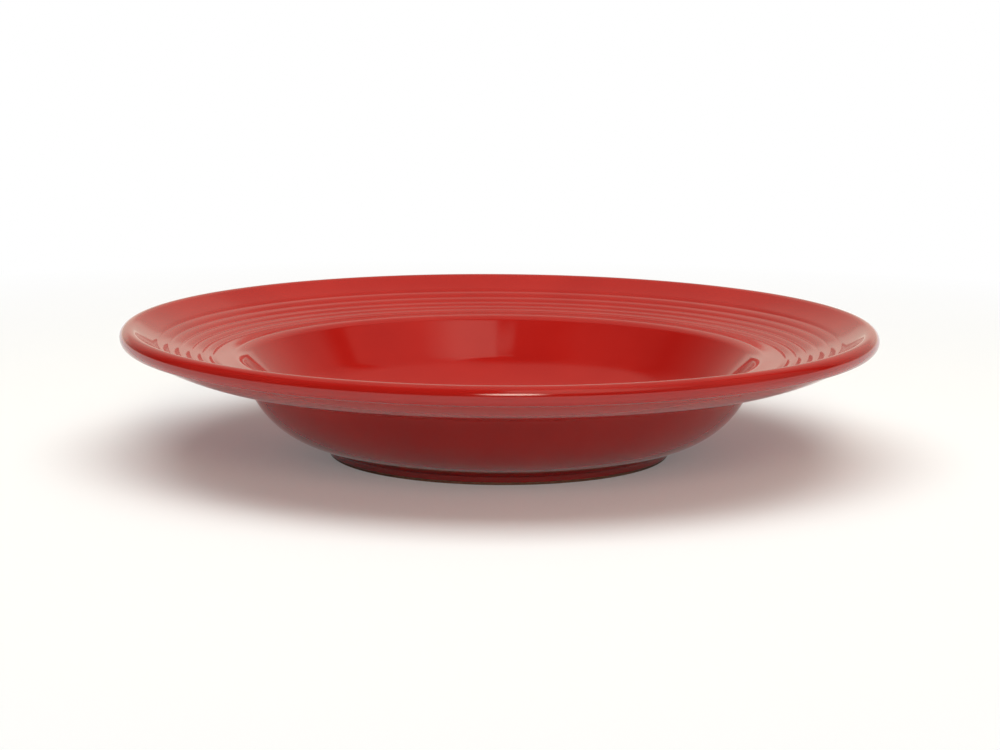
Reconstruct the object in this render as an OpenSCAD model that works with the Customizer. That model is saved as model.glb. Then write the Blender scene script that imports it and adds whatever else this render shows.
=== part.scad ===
// Rimmed pasta bowl: a fired clay body under a glossy glaze.
// Lengths are in millimetres. The foot stands on z = 0 and the bowl's axis is Z.
// Every outline is a half section, as [radius, height] points from the axis outward.

/* [Rim] */
// Outside diameter over the lip
bowl_d = 304.8; // [280:0.2:330]
// Breadth of the rim, from the outside of the well's wall to the bowl's edge
rim_w = 48.7; // [42:0.1:54]
// Breadth over which the rim climbs to the bowl's edge
climb_w = 42.9; // [38:0.1:46]
// Height of the rim's top face where it is lowest
rim_z = 40.5; // [38:0.1:46]
// Thickness of the rim where it is lowest
rim_t = 6.5; // [5:0.1:7.2]
// Radius of the hollow curve of the rim's top face
rim_arc_r = 64.5; // [60:0.5:90]
// Thickness of the rim just inside the lip
edge_t = 5.8; // [5:0.1:6.4]
// Radius of the rounded lip
lip_r = 3.8; // [3:0.1:4.2]
// Radius of the soft hollow where the lip meets the underside
lip_fillet_r = 8; // [3:0.5:10]

/* [Turned rings] */
// Number of grooves turned into the rim, with a domed ring between each two
groove_count = 6; // [3:1:7]
// Spacing of the grooves
ring_pitch = 4.3; // [3.4:0.1:4.4]
// Depth of a groove under the rings' crests
groove_h = 0.45; // [0.3:0.05:0.8]
// Distance from the bowl's edge to the outermost groove
groove_inset = 15.3; // [13:0.1:17]

/* [Well] */
// Radius of the curve of the well's outer wall
wall_arc_r = 36.5; // [32:0.5:40]
// Height of the lowest point of the circle that the outer wall follows
wall_low_z = 5.3; // [4.6:0.1:6.5]
// Slope of the straight upper part of the well's inside, in degrees
well_slope = 49; // [46:0.5:52]
// Radius of the curve from the floor into that straight part
well_arc_r = 42; // [34:0.5:48]
// Height of that curve's circle over the floor at the centre
well_rise = 2; // [1.5:0.1:3]
// Thickness of the base at its centre
base_t = 6; // [5:0.1:7]
// Radius of the rounded shoulder between the well and the rim
shoulder_r = 6; // [4:0.25:7]
// How far the shoulder's crest stands outside the outer wall
shoulder_out = 3; // [2:0.1:4]
// Radius of the hollow where the outer wall meets the rim's underside
neck_fillet_r = 7; // [4:0.5:8]

/* [Foot] */
// How far the foot ring stands in from the outside of the well's wall
foot_inset = 34.6; // [32:0.1:38]
// Breadth of the foot ring
foot_w = 6; // [5:0.1:8]
// Height of the foot ring outside
foot_h = 3.3; // [3:0.1:4.2]
// Depth of the recess inside the foot ring
recess_h = 2.8; // [2.4:0.1:3.2]
// Radius of the hollow around the foot, and in the recess's corner
foot_fillet_r = 1; // [0.6:0.1:1.2]
// Radius of the rounded edges of the ring that it stands on
foot_edge_r = 1.1; // [0.6:0.1:1.1]

/* [Glaze] */
// Thickness of the glaze
glaze_t = 0.4; // [0.3:0.05:0.5]
// Height of the dry band at the bottom of the foot
dry_h = 1.2; // [1.2:0.1:1.5]

/* [Hidden] */

// How far an arc's straight steps may stray from its curve
arc_sag = 0.03;
// Points from one ring's crest to the next
ring_steps = 8;
// Facets round the axis
turn_steps = 180;

// Plan positions
bowl_r = bowl_d / 2;
neck_r = bowl_r - rim_w;
low_r = bowl_r - climb_w;
foot_r = neck_r - foot_inset;
recess_r = foot_r - foot_w;
rings_out_r = bowl_r - groove_inset + ring_pitch / 2;
rings_in_r = rings_out_r - groove_count * ring_pitch;

// Centres of the curves of the section
rim_c = [low_r, rim_z + rim_arc_r];
wall_c = [neck_r - wall_arc_r, wall_low_z + wall_arc_r];
floor_z = recess_h + base_t;

// The lip's circle touches the rim's top curve from below
lip_c_r = bowl_r - lip_r;
lip_reach = rim_arc_r + lip_r;
lip_c = [lip_c_r, rim_c[1] - sqrt(lip_reach ^ 2 - (lip_c_r - low_r) ^ 2)];

// The underside's curve is level under the rim's lowest ring and keeps the edge's thickness
under_low = [low_r, rim_z - rim_t];
under_climb = at(rim_c, rim_arc_r + edge_t, angle_to(rim_c, lip_c)) - under_low;
under_arc_r = (under_climb * under_climb) / (2 * under_climb[1]);
under_c = under_low + [0, under_arc_r];

// The shoulder's circle touches the rim's top curve from below
shoulder_c_r = neck_r + shoulder_out;
shoulder_reach = rim_arc_r + shoulder_r;
shoulder_c = [shoulder_c_r, rim_c[1] - sqrt(shoulder_reach ^ 2 - (shoulder_c_r - low_r) ^ 2)];

// The well's inside runs straight from the shoulder down to its curve, and touches both circles
well_top = at(shoulder_c, shoulder_r + well_arc_r, well_slope + 90);
well_drop = well_top[1] - (floor_z + well_rise + well_arc_r);
well_c = at(well_top, -well_drop / sin(well_slope), well_slope);

// The floor is one wide curve, level on the axis, that runs into the well's curve
floor_gap = well_c[1] - floor_z;
floor_arc_r = (well_c[0] ^ 2 + floor_gap ^ 2 - well_arc_r ^ 2) / (2 * (floor_gap - well_arc_r));
floor_c = [0, floor_z + floor_arc_r];

// Rounding circles, each touching the two curves that it joins
lip_fillet_c = touching(under_c, under_arc_r + lip_fillet_r, lip_c, lip_r + lip_fillet_r);
neck_fillet_c = touching(wall_c, wall_arc_r + neck_fillet_r, under_c, under_arc_r + neck_fillet_r);

// The underside runs straight from the wall's curve to the top of the foot
foot_top = [foot_r, foot_h];
wall_end_angle = angle_to(wall_c, foot_top) + acos(wall_arc_r / norm(foot_top - wall_c));
base_slope = 90 + wall_end_angle;
foot_fillet_c = [foot_r + foot_fillet_r,
                 foot_h + foot_fillet_r * tan(base_slope) - foot_fillet_r / cos(base_slope)];

// Angle of the direction from one point to another
function angle_to(from, to) = atan2(to[1] - from[1], to[0] - from[0]);

// Point at a distance and an angle from a centre
function at(centre, r, angle) = centre + r * [cos(angle), sin(angle)];

// Where circles about a and b cross, on the right of the way from a to b
function touching(a, a_r, b, b_r) =
    let (d = norm(b - a),
         turn = acos((a_r ^ 2 + d ^ 2 - b_r ^ 2) / (2 * a_r * d)))
    at(a, a_r, angle_to(a, b) - turn);

// Points of an arc without its last one, where the next stretch starts
function arc(centre, r, from, to) =
    let (n = max(2, ceil(abs(to - from) / (2 * acos(1 - arc_sag / r)))))
    [for (i = [0 : n - 1]) at(centre, r, from + (to - from) * i / n)];

// Direction of a path at one of its points, level where the path meets the axis
function heading(path, i) =
    let (last = len(path) - 1)
    path[i][0] == 0 ? [i == 0 ? 1 : -1, 0]
    : unit((i > 0 ? unit(path[i] - path[i - 1]) : [0, 0])
           + (i < last ? unit(path[i + 1] - path[i]) : [0, 0]));

function unit(v) = v / norm(v);

function reversed(path) = [for (i = [len(path) - 1 : -1 : 0]) path[i]];

// The same path moved to its right, into the clay
function inset(path, t) =
    [for (i = [0 : len(path) - 1])
        let (way = heading(path, i))
        path[i] + t * [way[1], -way[0]]];

// Point of the rim's top face at a radius, sunk by the groove there
function rim_point(r, depth = 0) =
    let (turn = asin((r - low_r) / rim_arc_r))
    at(rim_c, rim_arc_r + depth, turn - 90);

// Depth at a step between two crests, deepest half way, so that each ring is a dome
function groove_depth(i) = groove_h * (1 - abs(1 - 2 * (i % ring_steps) / ring_steps)) ^ 2;

// Top face of the rim from the shoulder over the rings to the lip
function rim_path() = concat(
    arc(rim_c, rim_arc_r, angle_to(rim_c, shoulder_c), angle_to(rim_c, rim_point(rings_in_r))),
    [for (i = [0 : groove_count * ring_steps - 1])
        rim_point(rings_in_r + i * ring_pitch / ring_steps, groove_depth(i))],
    arc(rim_c, rim_arc_r, angle_to(rim_c, rim_point(rings_out_r)), angle_to(rim_c, lip_c)));

// Glazed inside of the well, from the axis to the top of the shoulder
function well_path() = concat(
    arc(floor_c, floor_arc_r, -90, angle_to(floor_c, well_c)),
    arc(well_c, well_arc_r, angle_to(floor_c, well_c), well_slope - 90),
    [at(well_c, well_arc_r, well_slope - 90)],
    arc(shoulder_c, shoulder_r, well_slope + 90, angle_to(shoulder_c, rim_c)));

// Glazed outside, over the lip's crest and edge and down to the glaze's edge on the foot
function outside_path() = concat(
    arc(lip_c, lip_r, angle_to(lip_c, rim_c), 90),
    arc(lip_c, lip_r, 90, 0),
    arc(lip_c, lip_r, 0, angle_to(lip_c, lip_fillet_c)),
    arc(lip_fillet_c, lip_fillet_r, angle_to(lip_fillet_c, lip_c), angle_to(lip_fillet_c, under_c)),
    arc(under_c, under_arc_r, angle_to(under_c, lip_fillet_c), angle_to(under_c, neck_fillet_c)),
    arc(neck_fillet_c, neck_fillet_r, angle_to(neck_fillet_c, under_c), angle_to(neck_fillet_c, wall_c)),
    arc(wall_c, wall_arc_r, angle_to(wall_c, neck_fillet_c), wall_end_angle),
    [at(wall_c, wall_arc_r, wall_end_angle)],
    arc(foot_fillet_c, foot_fillet_r, 90 + base_slope, 180),
    [[foot_r, foot_fillet_c[1]], [foot_r, dry_h]]);

glazed_path = concat(well_path(), rim_path(), outside_path());

// Glazed recess, from the glaze's edge inside the foot ring to the axis
recess_path = concat(
    [[recess_r, dry_h]],
    arc([recess_r - foot_fillet_r, recess_h - foot_fillet_r], foot_fillet_r, 0, 90),
    [[recess_r - foot_fillet_r, recess_h], [0, recess_h]]);

// Dry edges of the foot ring, from the outside round to the inside
foot_path = concat(
    arc([foot_r - glaze_t - foot_edge_r, foot_edge_r], foot_edge_r, 0, -90),
    [[foot_r - glaze_t - foot_edge_r, 0]],
    arc([recess_r + glaze_t + foot_edge_r, foot_edge_r], foot_edge_r, -90, -180),
    [[recess_r + glaze_t, foot_edge_r]]);

module turned(points) {
    rotate_extrude($fn = turn_steps)
        polygon(points);
}

// Fired clay: floor, wall, rim with its turned rings, lip and foot ring, formed in one piece
module clay_body() {
    color([0.86, 0.79, 0.69])
        turned(concat(inset(glazed_path, glaze_t), foot_path, inset(recess_path, glaze_t)));
}

// Red glaze over the inside, the rim, the lip and the outside down to the foot's dry edge
module glaze_coat() {
    color([0.72, 0.15, 0.10])
        turned(concat(glazed_path, reversed(inset(glazed_path, glaze_t))));
}

// Glaze in the recess inside the foot ring, parted from the rest by the dry foot
module base_glaze() {
    color([0.66, 0.13, 0.09])
        turned(concat(recess_path, reversed(inset(recess_path, glaze_t))));
}

clay_body();
glaze_coat();
base_glaze();
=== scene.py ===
"""Looks of a rimmed pasta bowl: red glaze over a fired clay body, with a dry foot ring.

Every piece is a fine turned mesh that stands for the CAD node of the same form.
Lengths are in metres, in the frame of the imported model: the foot stands on z = 0 and Z is the axis.
"""
import math

import bpy
import numpy as np
from mathutils import Matrix, Vector


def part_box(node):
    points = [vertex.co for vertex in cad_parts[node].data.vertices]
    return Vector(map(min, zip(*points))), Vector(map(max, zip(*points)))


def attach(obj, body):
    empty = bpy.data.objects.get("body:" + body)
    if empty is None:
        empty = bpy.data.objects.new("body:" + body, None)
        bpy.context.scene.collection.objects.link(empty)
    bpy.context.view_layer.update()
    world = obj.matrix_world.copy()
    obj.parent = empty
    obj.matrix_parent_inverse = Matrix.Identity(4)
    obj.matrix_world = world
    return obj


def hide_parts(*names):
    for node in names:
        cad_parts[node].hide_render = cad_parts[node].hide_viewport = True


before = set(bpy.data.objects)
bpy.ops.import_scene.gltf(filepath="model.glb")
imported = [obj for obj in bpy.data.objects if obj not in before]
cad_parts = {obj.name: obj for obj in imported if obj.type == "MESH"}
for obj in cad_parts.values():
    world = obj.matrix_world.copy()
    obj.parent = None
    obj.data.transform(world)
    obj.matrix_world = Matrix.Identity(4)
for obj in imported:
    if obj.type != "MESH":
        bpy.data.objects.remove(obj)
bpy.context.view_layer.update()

MM = 0.001

# Sizes of the section, as in the part's source
BOWL_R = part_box("glaze_coat")[1].x
RIM_W = 48.7 * MM
CLIMB_W = 42.9 * MM
RIM_Z = 40.5 * MM
RIM_T = 6.5 * MM
RIM_ARC_R = 64.5 * MM
EDGE_T = 5.8 * MM
LIP_R = 3.8 * MM
LIP_FILLET_R = 8 * MM
GROOVE_COUNT = 6
RING_PITCH = 4.3 * MM
GROOVE_H = 0.45 * MM
GROOVE_INSET = 15.3 * MM
WALL_ARC_R = 36.5 * MM
WALL_LOW_Z = 5.3 * MM
WELL_SLOPE = math.radians(49)
WELL_ARC_R = 42 * MM
WELL_RISE = 2 * MM
BASE_T = 6 * MM
SHOULDER_R = 6 * MM
SHOULDER_OUT = 3 * MM
NECK_FILLET_R = 7 * MM
FOOT_INSET = 34.6 * MM
FOOT_W = 6 * MM
FOOT_H = 3.3 * MM
RECESS_H = 2.8 * MM
FOOT_FILLET_R = 1 * MM
FOOT_EDGE_R = 1.1 * MM
GLAZE_T = 0.4 * MM
DRY_H = 1.2 * MM

# Fineness of the meshes
ARC_SAG = 0.003 * MM
ARC_STEPS_MIN = 3
RING_STEPS = 18
TURN_STEPS = 288
# Faces that meet at more than this angle keep a sharp edge
SHARP_ANGLE = math.radians(50)
# A point nearer to the axis than this counts as on it
ON_AXIS_R = 1e-9
# Share of half a ring's pitch over which the glaze rounds the bottom of a groove
GROOVE_SOFT_SHARE = 0.1
# The fired rim sags on one pair of sides: how far at the lip, by which power of the radius, and where round
# the axis, as a phase
RIM_SAG = 0.12 * MM
RIM_SAG_POWER = 4
RIM_SAG_PHASE = 0.7


# Plane geometry of the half section, as (radius, height)

def point(r, z):
    return np.array([r, z])


def angle_to(start, end):
    return math.atan2(end[1] - start[1], end[0] - start[0])


def at(centre, r, angle):
    return centre + r * point(math.cos(angle), math.sin(angle))


def touching(a, a_r, b, b_r):
    """Where circles about a and b cross, on the right of the way from a to b."""
    d = np.linalg.norm(b - a)
    turn = math.acos((a_r ** 2 + d ** 2 - b_r ** 2) / (2 * a_r * d))
    return at(a, a_r, angle_to(a, b) - turn)


def arc(centre, r, start, end):
    """Points of an arc without its last one, where the next stretch starts."""
    n = max(ARC_STEPS_MIN, math.ceil(abs(end - start) / (2 * math.acos(1 - ARC_SAG / r))))
    return [at(centre, r, start + (end - start) * i / n) for i in range(n)]


def inset(path, depth):
    """The same path moved to its right, into the clay. It stays level where it meets the axis."""
    path = np.array(path)
    steps = np.diff(path, axis=0)
    steps /= np.linalg.norm(steps, axis=1)[:, None]
    way = np.vstack([steps[:1], steps[:-1] + steps[1:], steps[-1:]])
    on_axis = path[:, 0] < ON_AXIS_R
    way[on_axis, 1] = 0
    way /= np.linalg.norm(way, axis=1)[:, None]
    return path + depth * np.stack([way[:, 1], -way[:, 0]], axis=1)


class Section:
    """The centres and radii that the outlines share."""

    def __init__(self):
        neck_r = BOWL_R - RIM_W
        self.low_r = BOWL_R - CLIMB_W
        self.foot_r = neck_r - FOOT_INSET
        self.recess_r = self.foot_r - FOOT_W
        self.rim_c = point(self.low_r, RIM_Z + RIM_ARC_R)
        self.wall_c = point(neck_r - WALL_ARC_R, WALL_LOW_Z + WALL_ARC_R)
        lip_reach = RIM_ARC_R + LIP_R
        lip_out = BOWL_R - LIP_R - self.low_r
        self.lip_c = point(BOWL_R - LIP_R, self.rim_c[1] - math.sqrt(lip_reach ** 2 - lip_out ** 2))
        under_low = point(self.low_r, RIM_Z - RIM_T)
        climb = at(self.rim_c, RIM_ARC_R + EDGE_T, angle_to(self.rim_c, self.lip_c)) - under_low
        self.under_r = climb @ climb / (2 * climb[1])
        self.under_c = under_low + point(0, self.under_r)
        shoulder_reach = RIM_ARC_R + SHOULDER_R
        shoulder_in = neck_r + SHOULDER_OUT - self.low_r
        shoulder_z = self.rim_c[1] - math.sqrt(shoulder_reach ** 2 - shoulder_in ** 2)
        self.shoulder_c = point(neck_r + SHOULDER_OUT, shoulder_z)
        floor_z = RECESS_H + BASE_T
        well_top = at(self.shoulder_c, SHOULDER_R + WELL_ARC_R, WELL_SLOPE + math.pi / 2)
        well_drop = well_top[1] - (floor_z + WELL_RISE + WELL_ARC_R)
        self.well_c = at(well_top, -well_drop / math.sin(WELL_SLOPE), WELL_SLOPE)
        gap = self.well_c[1] - floor_z
        self.floor_r = (self.well_c[0] ** 2 + gap ** 2 - WELL_ARC_R ** 2) / (2 * (gap - WELL_ARC_R))
        self.floor_c = point(0, floor_z + self.floor_r)
        self.lip_fillet_c = touching(
            self.under_c, self.under_r + LIP_FILLET_R, self.lip_c, LIP_R + LIP_FILLET_R)
        self.neck_fillet_c = touching(
            self.wall_c, WALL_ARC_R + NECK_FILLET_R, self.under_c, self.under_r + NECK_FILLET_R)
        foot_top = point(self.foot_r, FOOT_H)
        reach = np.linalg.norm(foot_top - self.wall_c)
        self.wall_end = angle_to(self.wall_c, foot_top) + math.acos(WALL_ARC_R / reach)
        self.base_slope = math.pi / 2 + self.wall_end
        fillet_drop = FOOT_FILLET_R * (math.tan(self.base_slope) - 1 / math.cos(self.base_slope))
        self.foot_fillet_c = point(self.foot_r + FOOT_FILLET_R, FOOT_H + fillet_drop)
        self.rings_out_r = BOWL_R - GROOVE_INSET + RING_PITCH / 2
        self.rings_in_r = self.rings_out_r - GROOVE_COUNT * RING_PITCH


section = Section()


def groove_depth(share):
    """Depth under the crests at a share of the way from one crest to the next. The rings are domed."""
    off_groove = abs(1 - 2 * share)
    soft = math.hypot(off_groove, GROOVE_SOFT_SHARE)
    widest = math.hypot(1, GROOVE_SOFT_SHARE)
    return GROOVE_H * (1 - soft / widest) ** 2


def rim_point(r, depth=0.0):
    turn = math.asin((r - section.low_r) / RIM_ARC_R)
    return at(section.rim_c, RIM_ARC_R + depth, turn - math.pi / 2)


def well_path():
    """Glazed inside of the well, from the axis to the top of the shoulder."""
    s = section
    curve_start = angle_to(s.floor_c, s.well_c)
    curve_end = WELL_SLOPE - math.pi / 2
    return (
        arc(s.floor_c, s.floor_r, -math.pi / 2, curve_start)
        + arc(s.well_c, WELL_ARC_R, curve_start, curve_end)
        + [at(s.well_c, WELL_ARC_R, curve_end)]
        + arc(s.shoulder_c, SHOULDER_R, WELL_SLOPE + math.pi / 2, angle_to(s.shoulder_c, s.rim_c))
    )


def rim_path():
    """Top face of the rim from the shoulder over the rings to the lip."""
    s = section
    rings = []
    for i in range(GROOVE_COUNT * RING_STEPS):
        depth = groove_depth(i % RING_STEPS / RING_STEPS)
        rings.append(rim_point(s.rings_in_r + i * RING_PITCH / RING_STEPS, depth))
    return (
        arc(s.rim_c, RIM_ARC_R, angle_to(s.rim_c, s.shoulder_c), angle_to(s.rim_c, rim_point(s.rings_in_r)))
        + rings
        + arc(s.rim_c, RIM_ARC_R, angle_to(s.rim_c, rim_point(s.rings_out_r)), angle_to(s.rim_c, s.lip_c))
    )


def outside_path():
    """Over the lip, under the rim, down the wall and the foot to the glaze's rolled edge."""
    s = section
    roll_c = point(s.foot_r - GLAZE_T, DRY_H + GLAZE_T)
    return (
        arc(s.lip_c, LIP_R, angle_to(s.lip_c, s.rim_c), math.pi / 2)
        + arc(s.lip_c, LIP_R, math.pi / 2, 0)
        + arc(s.lip_c, LIP_R, 0, angle_to(s.lip_c, s.lip_fillet_c))
        + arc(s.lip_fillet_c, LIP_FILLET_R, angle_to(s.lip_fillet_c, s.lip_c),
              angle_to(s.lip_fillet_c, s.under_c))
        + arc(s.under_c, s.under_r, angle_to(s.under_c, s.lip_fillet_c),
              angle_to(s.under_c, s.neck_fillet_c))
        + arc(s.neck_fillet_c, NECK_FILLET_R, angle_to(s.neck_fillet_c, s.under_c),
              angle_to(s.neck_fillet_c, s.wall_c))
        + arc(s.wall_c, WALL_ARC_R, angle_to(s.wall_c, s.neck_fillet_c), s.wall_end)
        + [at(s.wall_c, WALL_ARC_R, s.wall_end)]
        + arc(s.foot_fillet_c, FOOT_FILLET_R, math.pi / 2 + s.base_slope, math.pi)
        + arc(roll_c, GLAZE_T, 0, -math.pi / 2)
    )


def recess_path():
    """Glazed recess, from the glaze's rolled edge inside the foot ring to the axis."""
    s = section
    roll_c = point(s.recess_r + GLAZE_T, DRY_H + GLAZE_T)
    corner_c = point(s.recess_r - FOOT_FILLET_R, RECESS_H - FOOT_FILLET_R)
    return (
        arc(roll_c, GLAZE_T, -math.pi / 2, -math.pi)
        + arc(corner_c, FOOT_FILLET_R, 0, math.pi / 2)
        + [point(s.recess_r - FOOT_FILLET_R, RECESS_H), point(0, RECESS_H)]
    )


def foot_path():
    """Dry edges of the foot ring, from the outside round to the inside."""
    s = section
    out_r = s.foot_r - GLAZE_T
    in_r = s.recess_r + GLAZE_T
    return (
        [point(out_r, DRY_H)]
        + arc(point(out_r - FOOT_EDGE_R, FOOT_EDGE_R), FOOT_EDGE_R, 0, -math.pi / 2)
        + [point(out_r - FOOT_EDGE_R, 0)]
        + arc(point(in_r + FOOT_EDGE_R, FOOT_EDGE_R), FOOT_EDGE_R, -math.pi / 2, -math.pi)
        + [point(in_r, FOOT_EDGE_R), point(in_r, DRY_H)]
    )


# Turned meshes

def turned(name, outline, material):
    """A closed mesh of revolution round Z. Points on the axis become one vertex each."""
    angles = np.arange(TURN_STEPS) * 2 * math.pi / TURN_STEPS
    vertices = []
    rows = []
    for r, z in outline:
        start = len(vertices)
        if r < ON_AXIS_R:
            vertices.append((0.0, 0.0, z))
            rows.append([start] * TURN_STEPS)
            continue
        sag = RIM_SAG * (r / BOWL_R) ** RIM_SAG_POWER
        for angle in angles:
            drop = sag * (0.5 - 0.5 * math.cos(2 * angle + RIM_SAG_PHASE))
            vertices.append((r * math.cos(angle), r * math.sin(angle), z - drop))
        rows.append(list(range(start, start + TURN_STEPS)))
    faces = []
    last = len(outline) if outline[0][0] > ON_AXIS_R else len(outline) - 1
    for i in range(last):
        row = rows[i]
        after = rows[(i + 1) % len(rows)]
        for k in range(TURN_STEPS):
            n = (k + 1) % TURN_STEPS
            corners = [row[k], after[k], after[n], row[n]]
            face = list(dict.fromkeys(corners))
            if len(face) > 2:
                faces.append(face)
    mesh = bpy.data.meshes.new(name)
    mesh.from_pydata(vertices, [], faces)
    mesh.validate()
    mesh.update()
    mesh.materials.append(material)
    mesh.shade_smooth()
    mesh.set_sharp_from_angle(angle=SHARP_ANGLE)
    piece = bpy.data.objects.new(name, mesh)
    bpy.context.scene.collection.objects.link(piece)
    return piece


# Node helpers

def new_material(name):
    material = bpy.data.materials.new(name)
    material.use_nodes = True
    tree = material.node_tree
    tree.nodes.clear()
    output = tree.nodes.new("ShaderNodeOutputMaterial")
    shader = tree.nodes.new("ShaderNodeBsdfPrincipled")
    tree.links.new(shader.outputs["BSDF"], output.inputs["Surface"])
    return material, tree, shader


def add(tree, kind, inputs=None, **settings):
    node = tree.nodes.new(kind)
    for key, value in settings.items():
        setattr(node, key, value)
    for key, value in (inputs or {}).items():
        if isinstance(value, bpy.types.NodeSocket):
            tree.links.new(value, node.inputs[key])
        else:
            node.inputs[key].default_value = value
    return node


def noise(tree, where, scale, detail, roughness=0.5):
    node = add(tree, "ShaderNodeTexNoise", {"Scale": scale, "Detail": detail, "Roughness": roughness})
    tree.links.new(where, node.inputs["Vector"])
    return node.outputs["Fac"]


def mapped(tree, value, from_min, from_max, to_min, to_max):
    node = add(tree, "ShaderNodeMapRange", {
        "Value": value, "From Min": from_min, "From Max": from_max, "To Min": to_min, "To Max": to_max})
    return node.outputs["Result"]


def math_node(tree, operation, *values):
    node = add(tree, "ShaderNodeMath", dict(enumerate(values)), operation=operation)
    return node.outputs[0]


def mixed(tree, factor, a, b):
    node = add(tree, "ShaderNodeMix", data_type="RGBA")
    for key, value in (("Factor", factor), ("A", a), ("B", b)):
        socket = [s for s in node.inputs if s.name == key and s.enabled][0]
        if isinstance(value, bpy.types.NodeSocket):
            tree.links.new(value, socket)
        else:
            socket.default_value = value
    return [s for s in node.outputs if s.enabled][0]


def bump(tree, pattern, strength, height, under=None):
    """Normal of a surface raised by a pattern, on top of another such normal where one is given."""
    inputs = {"Strength": strength, "Distance": height, "Height": pattern}
    if under is not None:
        inputs["Normal"] = under
    return add(tree, "ShaderNodeBump", inputs).outputs["Normal"]


# Finishes

# Glaze: its two reds, its refraction, and the roughness of its glossiest and its dullest places
GLAZE_DEEP = (0.40, 0.0105, 0.0075, 1)
GLAZE_LIGHT = (0.46, 0.0150, 0.0105, 1)
GLAZE_IOR = 1.52
GLAZE_ROUGHNESS = (0.05, 0.09)
# Clay: its two browns, its specks and its roughness
CLAY_DARK = (0.20, 0.09, 0.05, 1)
CLAY_PALE = (0.30, 0.15, 0.09, 1)
CLAY_SPECK = (0.12, 0.06, 0.04, 1)
CLAY_ROUGHNESS = 0.85
# Noise patterns: how fine each is, as the noise node's scale over metres
CLOUD_SCALE = 22
GLOSS_SCALE = 60
WAVES_SCALE = 55
PEEL_SCALE = 420
GRAIN_SCALE = 900
SPECK_SCALE = 1500
# Span of a noise's values that is stretched to the whole range
GLAZE_NOISE_SPAN = (0.3, 0.7)
GRAIN_NOISE_SPAN = (0.35, 0.65)
SPECK_NOISE_SPAN = (0.66, 0.72)
# Bumps: strength and height
WAVES_STRENGTH = 0.03
WAVES_H = 0.4 * MM
PEEL_STRENGTH = 0.02
PEEL_H = 0.1 * MM
GRAIN_STRENGTH = 0.35
GRAIN_H = 0.2 * MM
# Floor: its tone, its roughness, its own glow, and the distances from the axis where it turns plain white
FLOOR_TONE = (0.80, 0.80, 0.80, 1)
FLOOR_ROUGHNESS = 0.9
FLOOR_GLOW = 0.15
FLOOR_FADE = (0.25, 0.6)
WHITE = (1, 1, 1, 1)


def glaze_material():
    """Glossy red glaze that drifts between two close reds, with faint waves and a fine peel."""
    material, tree, shader = new_material("red_glaze")
    where = add(tree, "ShaderNodeTexCoord").outputs["Object"]
    cloud = mapped(tree, noise(tree, where, CLOUD_SCALE, detail=3), *GLAZE_NOISE_SPAN, 0, 1)
    tree.links.new(mixed(tree, cloud, GLAZE_DEEP, GLAZE_LIGHT), shader.inputs["Base Color"])
    shader.inputs["IOR"].default_value = GLAZE_IOR
    gloss = noise(tree, where, GLOSS_SCALE, detail=3)
    tree.links.new(mapped(tree, gloss, *GLAZE_NOISE_SPAN, *GLAZE_ROUGHNESS), shader.inputs["Roughness"])
    waves = bump(tree, noise(tree, where, WAVES_SCALE, detail=1), WAVES_STRENGTH, WAVES_H)
    peel = bump(tree, noise(tree, where, PEEL_SCALE, detail=2), PEEL_STRENGTH, PEEL_H, under=waves)
    tree.links.new(peel, shader.inputs["Normal"])
    return material


def clay_material():
    """Dry fired clay: toasted brown, matt and finely grained, with darker specks."""
    material, tree, shader = new_material("fired_clay")
    where = add(tree, "ShaderNodeTexCoord").outputs["Object"]
    grain = noise(tree, where, GRAIN_SCALE, detail=5, roughness=0.7)
    tone = mixed(tree, mapped(tree, grain, *GRAIN_NOISE_SPAN, 0, 1), CLAY_DARK, CLAY_PALE)
    specks = mapped(tree, noise(tree, where, SPECK_SCALE, detail=2), *SPECK_NOISE_SPAN, 0, 1)
    tree.links.new(mixed(tree, specks, tone, CLAY_SPECK), shader.inputs["Base Color"])
    shader.inputs["Roughness"].default_value = CLAY_ROUGHNESS
    tree.links.new(bump(tree, grain, GRAIN_STRENGTH, GRAIN_H), shader.inputs["Normal"])
    return material


def floor_material():
    """White floor that keeps the bowl's shadow. Camera and mirrors see it turn plain white further off."""
    material, tree, shader = new_material("studio_floor")
    shader.inputs["Base Color"].default_value = FLOOR_TONE
    shader.inputs["Roughness"].default_value = FLOOR_ROUGHNESS
    shader.inputs["Specular IOR Level"].default_value = 0.0
    where = add(tree, "ShaderNodeTexCoord").outputs["Object"]
    length = add(tree, "ShaderNodeVectorMath", {0: where}, operation="LENGTH").outputs["Value"]
    path = add(tree, "ShaderNodeLightPath")
    seen = math_node(tree, "MAXIMUM", path.outputs["Is Camera Ray"], path.outputs["Is Glossy Ray"])
    seen = math_node(tree, "MAXIMUM", seen, path.outputs["Is Transmission Ray"])
    glow_level = math_node(tree, "MULTIPLY", seen, FLOOR_GLOW)
    glow = add(tree, "ShaderNodeEmission", {"Color": WHITE, "Strength": glow_level})
    near = add(tree, "ShaderNodeAddShader", {0: shader.outputs["BSDF"], 1: glow.outputs["Emission"]})
    far = add(tree, "ShaderNodeEmission", {"Color": WHITE, "Strength": 1.0})
    share = math_node(tree, "MULTIPLY", seen, mapped(tree, length, *FLOOR_FADE, 0, 1))
    mix = add(tree, "ShaderNodeMixShader",
              {0: share, 1: near.outputs["Shader"], 2: far.outputs["Emission"]})
    output = [n for n in tree.nodes if n.type == "OUTPUT_MATERIAL"][0]
    tree.links.new(mix.outputs["Shader"], output.inputs["Surface"])
    return material


# The bowl

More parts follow.
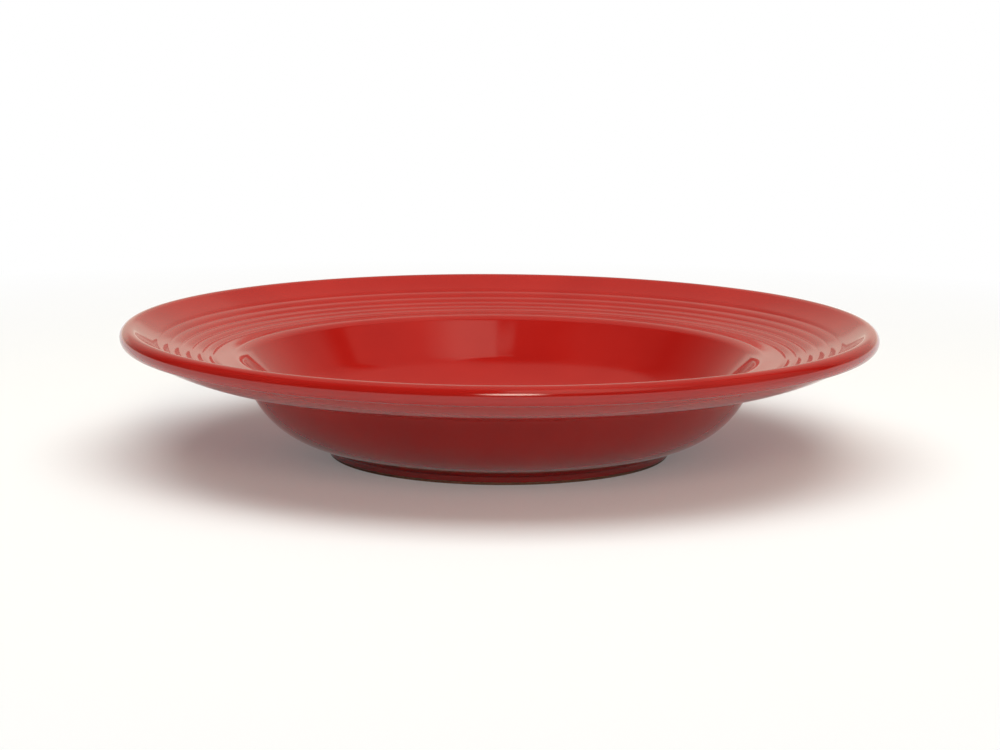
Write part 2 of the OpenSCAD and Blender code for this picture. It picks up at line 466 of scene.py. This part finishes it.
def build_bowl():
    glazed = well_path() + rim_path() + outside_path()
    recess = recess_path()
    red = glaze_material()
    clay = clay_material()
    body_outline = list(inset(glazed, GLAZE_T)) + foot_path() + list(inset(recess, GLAZE_T))
    body = turned("bowl_clay", body_outline, clay)
    coat = turned("bowl_glaze", glazed + list(inset(glazed, GLAZE_T))[::-1], red)
    base = turned("bowl_base_glaze", recess[::-1] + list(inset(recess, GLAZE_T)), red)
    for piece, node, slot in ((body, "clay_body", "fired_clay"), (coat, "glaze_coat", "red_glaze"),
                              (base, "base_glaze", "red_base_glaze")):
        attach(piece, "root")
        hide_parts(node)
    node_finish = {"clay_body": clay, "glaze_coat": red, "base_glaze": red}
    for name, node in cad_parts.items():
        node.data.materials.clear()
        node.data.materials.append(node_finish[name])


# Studio

CAMERA_REACH = 1250 * MM
CAMERA_TARGET_Z = 25 * MM
CAMERA_ELEVATION = math.radians(9.858)
CAMERA_AIM = Vector((0.31 * MM, 0, 31.55 * MM))
CAMERA_ROLL = math.radians(0.373)
CAMERA_CLIP = 50
SENSOR_W = 36.0
FOCAL_SHARE = 3.0864

FLOOR_HALF_W = 30.0

# Panel overhead that lights the bowl and isn't mirrored in it: place, width, depth and watts
OVERHEAD_PLACE = Vector((0, -0.1, 1.2))
OVERHEAD_W = 1.6
OVERHEAD_D = 1.2
OVERHEAD_POWER = 15.0

# The rest of the studio goes by direction. A pair holds the degrees at the dark end and at the bright end of
# an edge, and IN and OUT tell two edges apart. SIDE is round from the front, to the right positive, TURN is
# the same to either side, and RISE is up from the horizon. A LEVEL is the light's strength.
BACK_WALL_TURN_IN = (115, 175)
BACK_WALL_LEVEL = 0.56
RIGHT_WALL_SIDE_IN = (20, 80)
RIGHT_WALL_SIDE_OUT = (111, 108)
RIGHT_WALL_LEVEL = 0.20
RIGHT_REAR_SIDE_IN = (114, 124)
RIGHT_REAR_SIDE_OUT = (170, 140)
RIGHT_REAR_LEVEL = 0.20
LEFT_WALL_SIDE_IN = (-65, -75)
LEFT_WALL_SIDE_OUT = (-120, -112)
LEFT_WALL_LEVEL = 0.05
# The walls get brighter upwards by this factor
WALL_TOP_RISE_IN = (25, 60)
WALL_TOP_GAIN = 1.25
# Key panel in front. It dims to a lower share on its right, where the pair holds the bright end first
KEY_SIDE_IN = (-1, 6)
KEY_SIDE_DIM = (40, 75)
KEY_DIM_SHARE = 0.30
KEY_SIDE_OUT = (84, 66)
KEY_RISE_IN = (24, 40)
KEY_RISE_OUT = (77, 75)
KEY_LEVEL = 0.95
# Thin panel that makes the tongue beside the bright rectangle in the well
TONGUE_SIDE_IN = (-20, -13)
TONGUE_SIDE_OUT = (4, -1)
TONGUE_RISE_IN = (73.4, 73.8)
TONGUE_RISE_OUT = (74.8, 74.4)
TONGUE_LEVEL = 0.75
# Small lamp in front that glints on the lip, with the edge of its disc
LAMP_SIDE = 4
LAMP_RISE = 27
LAMP_EDGE = (13, 5)
LAMP_LEVEL = 11.0
# Glow low down behind, and the bright horizon all round
GLOW_RISE_IN = (18, 9)
GLOW_TURN_IN = (135, 160)
GLOW_LEVEL = 0.76
HORIZON_RISE_IN = (4, 2)
# Diffuser overhead, in shares of its height over the bowl: radius, softness of its edge, and how far back
# it hangs
DIFFUSER_R = 0.71
DIFFUSER_SOFT = 0.09
DIFFUSER_BACK = 0.62
DIFFUSER_LEVEL = 0.42
# Least upward share of a direction, which keeps the plane of the diffuser from running to infinity
DIFFUSER_UP_MIN = 0.02
STUDIO_TINT = (1.0, 0.95, 0.80, 1)


def build_camera():
    camera = bpy.data.cameras.new("camera")
    camera.sensor_fit = "HORIZONTAL"
    camera.sensor_width = SENSOR_W
    camera.lens = FOCAL_SHARE * SENSOR_W
    camera.clip_end = CAMERA_CLIP
    holder = bpy.data.objects.new("camera", camera)
    bpy.context.scene.collection.objects.link(holder)
    place = Vector((0, -CAMERA_REACH * math.cos(CAMERA_ELEVATION),
                    CAMERA_TARGET_Z + CAMERA_REACH * math.sin(CAMERA_ELEVATION)))
    ahead = (CAMERA_AIM - place).normalized()
    right = ahead.cross(Vector((0, 0, 1))).normalized()
    up = right.cross(ahead)
    turned_right = right * math.cos(CAMERA_ROLL) + up * math.sin(CAMERA_ROLL)
    turned_up = up * math.cos(CAMERA_ROLL) - right * math.sin(CAMERA_ROLL)
    axes = Matrix((turned_right, turned_up, -ahead)).transposed()
    holder.matrix_world = Matrix.Translation(place) @ axes.to_4x4()
    bpy.context.scene.camera = holder


def build_floor():
    size = FLOOR_HALF_W
    mesh = bpy.data.meshes.new("studio_floor")
    corners = [(-size, -size, 0), (size, -size, 0), (size, size, 0), (-size, size, 0)]
    mesh.from_pydata(corners, [], [(0, 1, 2, 3)])
    mesh.materials.append(floor_material())
    floor = bpy.data.objects.new("studio_floor", mesh)
    bpy.context.scene.collection.objects.link(floor)


def step_up(tree, value, start, end, low=0.0, high=1.0):
    """Smooth step of a value, from low at the start to high at the end."""
    node = add(tree, "ShaderNodeMapRange",
               {"Value": value, "From Min": start, "From Max": end, "To Min": low, "To Max": high},
               interpolation_type="SMOOTHSTEP")
    return node.outputs["Result"]


def angle_step(tree, angle, start, end, low=0.0, high=1.0):
    """The same of an angle, with its start and end in degrees."""
    return step_up(tree, angle, math.radians(start), math.radians(end), low, high)


def product(tree, *values):
    total = values[0]
    for value in values[1:]:
        total = math_node(tree, "MULTIPLY", total, value)
    return total


def total_of(tree, *values):
    total = values[0]
    for value in values[1:]:
        total = math_node(tree, "ADD", total, value)
    return total


def studio_walls(tree, side, turn, rise):
    """A bright wall behind, a dimmer one to the right with a dark gap in it, and a faint one to the left."""
    back = product(tree, angle_step(tree, turn, *BACK_WALL_TURN_IN), BACK_WALL_LEVEL)
    right_rear = product(tree, angle_step(tree, side, *RIGHT_REAR_SIDE_IN),
                         angle_step(tree, side, *RIGHT_REAR_SIDE_OUT), RIGHT_REAR_LEVEL)
    right = product(tree, angle_step(tree, side, *RIGHT_WALL_SIDE_IN),
                    angle_step(tree, side, *RIGHT_WALL_SIDE_OUT), RIGHT_WALL_LEVEL)
    left = product(tree, angle_step(tree, side, *LEFT_WALL_SIDE_IN),
                   angle_step(tree, side, *LEFT_WALL_SIDE_OUT), LEFT_WALL_LEVEL)
    brighter_above = angle_step(tree, rise, *WALL_TOP_RISE_IN, 1.0, WALL_TOP_GAIN)
    return product(tree, total_of(tree, back, right_rear, right, left), brighter_above)


def overhead_diffuser(tree, way):
    """The diffuser is a level disc, so it is drawn on the plane over the bowl."""
    height = math_node(tree, "MAXIMUM", way.outputs["Z"], DIFFUSER_UP_MIN)
    across = math_node(tree, "DIVIDE", way.outputs["X"], height)
    along = math_node(tree, "SUBTRACT", math_node(tree, "DIVIDE", way.outputs["Y"], height), DIFFUSER_BACK)
    square = total_of(tree, product(tree, across, across), product(tree, along, along))
    off_axis = math_node(tree, "SQRT", square)
    return step_up(tree, off_axis, DIFFUSER_R + DIFFUSER_SOFT, DIFFUSER_R - DIFFUSER_SOFT)


def key_panel(tree, side, rise):
    dimming = angle_step(tree, side, *KEY_SIDE_DIM, 1.0, KEY_DIM_SHARE)
    fall = product(tree, dimming, angle_step(tree, side, *KEY_SIDE_OUT))
    return product(tree, angle_step(tree, side, *KEY_SIDE_IN), fall, angle_step(tree, rise, *KEY_RISE_IN),
                   angle_step(tree, rise, *KEY_RISE_OUT), KEY_LEVEL)


def tongue_panel(tree, side, rise):
    return product(tree, angle_step(tree, side, *TONGUE_SIDE_IN), angle_step(tree, side, *TONGUE_SIDE_OUT),
                   angle_step(tree, rise, *TONGUE_RISE_IN), angle_step(tree, rise, *TONGUE_RISE_OUT),
                   TONGUE_LEVEL)


def front_lamp(tree, side, rise):
    off_side = math_node(tree, "SUBTRACT", side, math.radians(LAMP_SIDE))
    off_rise = math_node(tree, "SUBTRACT", rise, math.radians(LAMP_RISE))
    off_lamp = math_node(tree, "SQRT", total_of(
        tree, math_node(tree, "POWER", off_side, 2.0), math_node(tree, "POWER", off_rise, 2.0)))
    return product(tree, angle_step(tree, off_lamp, *LAMP_EDGE), LAMP_LEVEL)


def build_world():
    """Studio by direction: diffuser overhead, walls, key panel, thin panel, lamp, glow and horizon."""
    world = bpy.data.worlds.new("studio_world")
    world.use_nodes = True
    bpy.context.scene.world = world
    tree = world.node_tree
    heading = add(tree, "ShaderNodeTexCoord").outputs["Generated"]
    way = add(tree, "ShaderNodeSeparateXYZ", {0: heading})
    forward = math_node(tree, "MULTIPLY", way.outputs["Y"], -1.0)
    side = math_node(tree, "ARCTAN2", way.outputs["X"], forward)
    rise = math_node(tree, "ARCSINE", way.outputs["Z"])
    turn = math_node(tree, "ABSOLUTE", side)

    diffuser = overhead_diffuser(tree, way)
    walls = studio_walls(tree, side, turn, rise)
    panels = total_of(tree, key_panel(tree, side, rise), tongue_panel(tree, side, rise))
    around = math_node(tree, "MAXIMUM", walls, panels)
    beside_diffuser = math_node(tree, "SUBTRACT", 1.0, diffuser)
    shown = total_of(tree, product(tree, around, beside_diffuser), product(tree, diffuser, DIFFUSER_LEVEL),
                     front_lamp(tree, side, rise))
    glow = product(tree, angle_step(tree, rise, *GLOW_RISE_IN), angle_step(tree, turn, *GLOW_TURN_IN),
                   GLOW_LEVEL)
    horizon = math_node(tree, "MAXIMUM", angle_step(tree, rise, *HORIZON_RISE_IN), glow)
    strength = math_node(tree, "MAXIMUM", shown, horizon)

    background = tree.nodes["Background"]
    background.inputs["Color"].default_value = STUDIO_TINT
    tree.links.new(strength, background.inputs["Strength"])


def build_overhead_panel():
    lamp = bpy.data.lights.new("overhead_panel", "AREA")
    lamp.shape = "RECTANGLE"
    lamp.size = OVERHEAD_W
    lamp.size_y = OVERHEAD_D
    lamp.energy = OVERHEAD_POWER
    holder = bpy.data.objects.new("overhead_panel", lamp)
    bpy.context.scene.collection.objects.link(holder)
    to_bowl = -OVERHEAD_PLACE
    facing = to_bowl.to_track_quat("-Z", "Y").to_matrix().to_4x4()
    holder.matrix_world = Matrix.Translation(OVERHEAD_PLACE) @ facing
    holder.visible_glossy = False
    holder.visible_camera = False


build_camera()
build_floor()
build_world()
build_overhead_panel()
build_bowl()

bpy.context.scene.view_settings.view_transform = "Standard"
